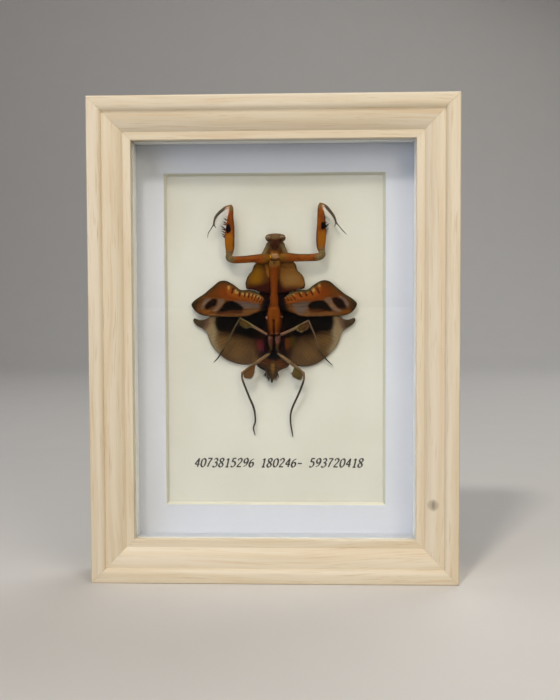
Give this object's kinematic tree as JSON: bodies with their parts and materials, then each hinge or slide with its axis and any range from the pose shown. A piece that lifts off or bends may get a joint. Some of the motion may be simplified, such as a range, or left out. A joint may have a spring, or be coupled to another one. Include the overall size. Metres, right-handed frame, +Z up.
{
  "type": "framed mantis specimen",
  "caption": "Leaf mantis dried and pinned belly outward on a cream card with a white window mat, behind glass in a deep wooden box frame.",
  "frame": {"origin": "middle of the footprint, on the plane that the bottom rail stands on", "axes": "+X to the right seen from the front, +Y from the glass into the frame, +Z up"},
  "size_m": [0.16, 0.0338, 0.211],
  "materials": {
    "frame_wood": "pale limed wood grain, satin",
    "picture_glass": "clear float glass",
    "white_spacer": "matt white",
    "white_mat": "matt white mat board",
    "cream_card": "matt cream card",
    "foam_board": "matt white",
    "hardboard": "pressed wood fibre, smooth side out",
    "steel_tabs": "dull zinc-plated strip",
    "brass_hanger": "brass-plated pressed steel",
    "body_cuticle": "dry satin cuticle",
    "forewing": "leathery wing, dark spots",
    "hindwing": "thin wing with dense veins",
    "foreleg_cuticle": "dry satin cuticle",
    "walking_leg_cuticle": "dry satin cuticle",
    "pin_steel": "black enamelled steel"
  },
  "bodies": {
    "root": {"rail_top": "frame_wood", "rail_bottom": "frame_wood", "rail_left": "frame_wood", "rail_right": "frame_wood", "glass_pane": "picture_glass", "spacer_top": "white_spacer", "spacer_bottom": "white_spacer", "spacer_left": "white_spacer", "spacer_right": "white_spacer", "window_mat": "white_mat", "backing_card": "cream_card", "foam_board": "foam_board", "back_board": "hardboard", "retaining_tab_1": "steel_tabs", "retaining_tab_2": "steel_tabs", "retaining_tab_3": "steel_tabs", "retaining_tab_4": "steel_tabs", "retaining_tab_5": "steel_tabs", "retaining_tab_6": "steel_tabs", "hanger_plate": "brass_hanger", "hanger_nail_left": "brass_hanger", "hanger_nail_right": "brass_hanger", "head": "body_cuticle", "prothorax": "body_cuticle", "thorax": "body_cuticle", "abdomen": "body_cuticle", "forewing_left": "forewing", "forewing_right": "forewing", "hindwing_left": "hindwing", "hindwing_right": "hindwing", "foreleg_left": "foreleg_cuticle", "foreleg_right": "foreleg_cuticle", "midleg_left": "walking_leg_cuticle", "midleg_right": "walking_leg_cuticle", "hindleg_left": "walking_leg_cuticle", "hindleg_right": "walking_leg_cuticle", "insect_pin": "pin_steel"}
  },
  "joints": []
}
